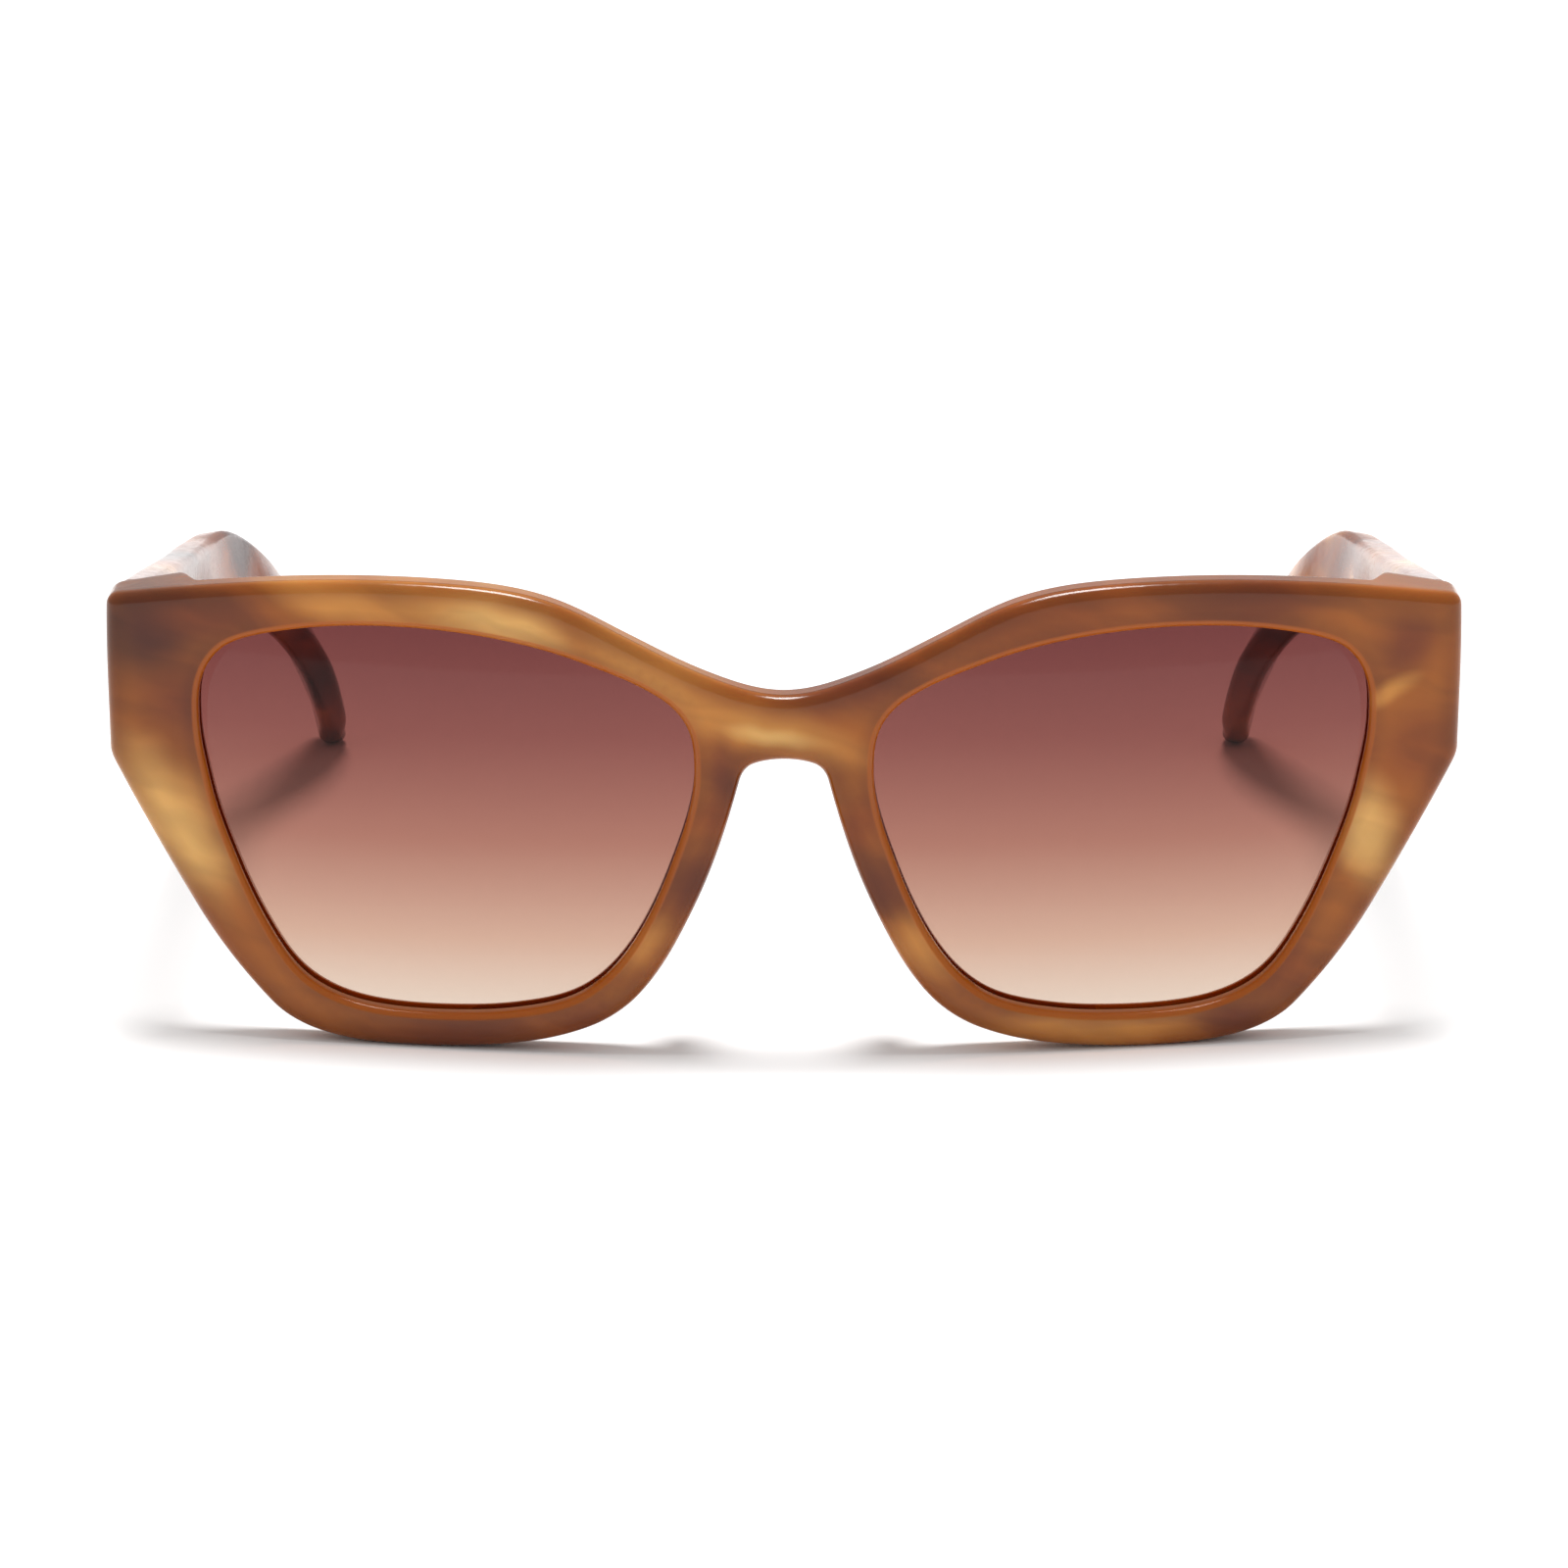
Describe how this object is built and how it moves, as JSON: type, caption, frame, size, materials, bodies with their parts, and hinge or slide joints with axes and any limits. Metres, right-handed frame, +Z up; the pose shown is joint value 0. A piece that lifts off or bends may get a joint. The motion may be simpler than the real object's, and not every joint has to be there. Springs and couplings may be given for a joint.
{
  "type": "cat eye sunglasses",
  "caption": "Cat eye sunglasses with a thick acetate front, gradient tinted lenses and temples that fold on steel barrel hinges.",
  "frame": {"origin": "on the table, midway between the temples and halfway from the front to the tips", "axes": "+X to the wearer's left, +Y towards the back of the wearer's head, +Z up"},
  "size_m": [0.1468, 0.1476, 0.0514],
  "materials": {
    "front_acetate": "polished, streaked amber and brown",
    "temple_acetate": "polished, streaked amber and brown",
    "pad_acetate": "polished",
    "lens_tint": "polished, tint fading towards the bottom",
    "hinge_steel": "satin",
    "screw_steel": "satin",
    "rivet_steel": "polished",
    "core_steel": "satin"
  },
  "bodies": {
    "front": {"front_frame": "front_acetate", "left_lens": "lens_tint", "right_lens": "lens_tint", "left_nose_pad": "pad_acetate", "right_nose_pad": "pad_acetate", "left_front_hinge": "hinge_steel", "right_front_hinge": "hinge_steel", "left_hinge_screw": "screw_steel", "right_hinge_screw": "screw_steel"},
    "left_arm": {"left_temple": "temple_acetate", "left_core_wire": "core_steel", "left_temple_hinge": "hinge_steel", "left_front_rivet": "rivet_steel", "left_back_rivet": "rivet_steel"},
    "right_arm": {"right_temple": "temple_acetate", "right_core_wire": "core_steel", "right_temple_hinge": "hinge_steel", "right_front_rivet": "rivet_steel", "right_back_rivet": "rivet_steel"}
  },
  "joints": [
    {"name": "left_temple_fold", "type": "hinge", "parent": "front", "child": "left_arm", "pos_m": [0.0677, -0.05583, 0.04], "axis": [0, 0.1426, 0.9898], "range_deg": [0, 85]},
    {"name": "right_temple_fold", "type": "hinge", "parent": "front", "child": "right_arm", "pos_m": [-0.0677, -0.05583, 0.04], "axis": [0, -0.1426, -0.9898], "range_deg": [0, 73]}
  ]
}
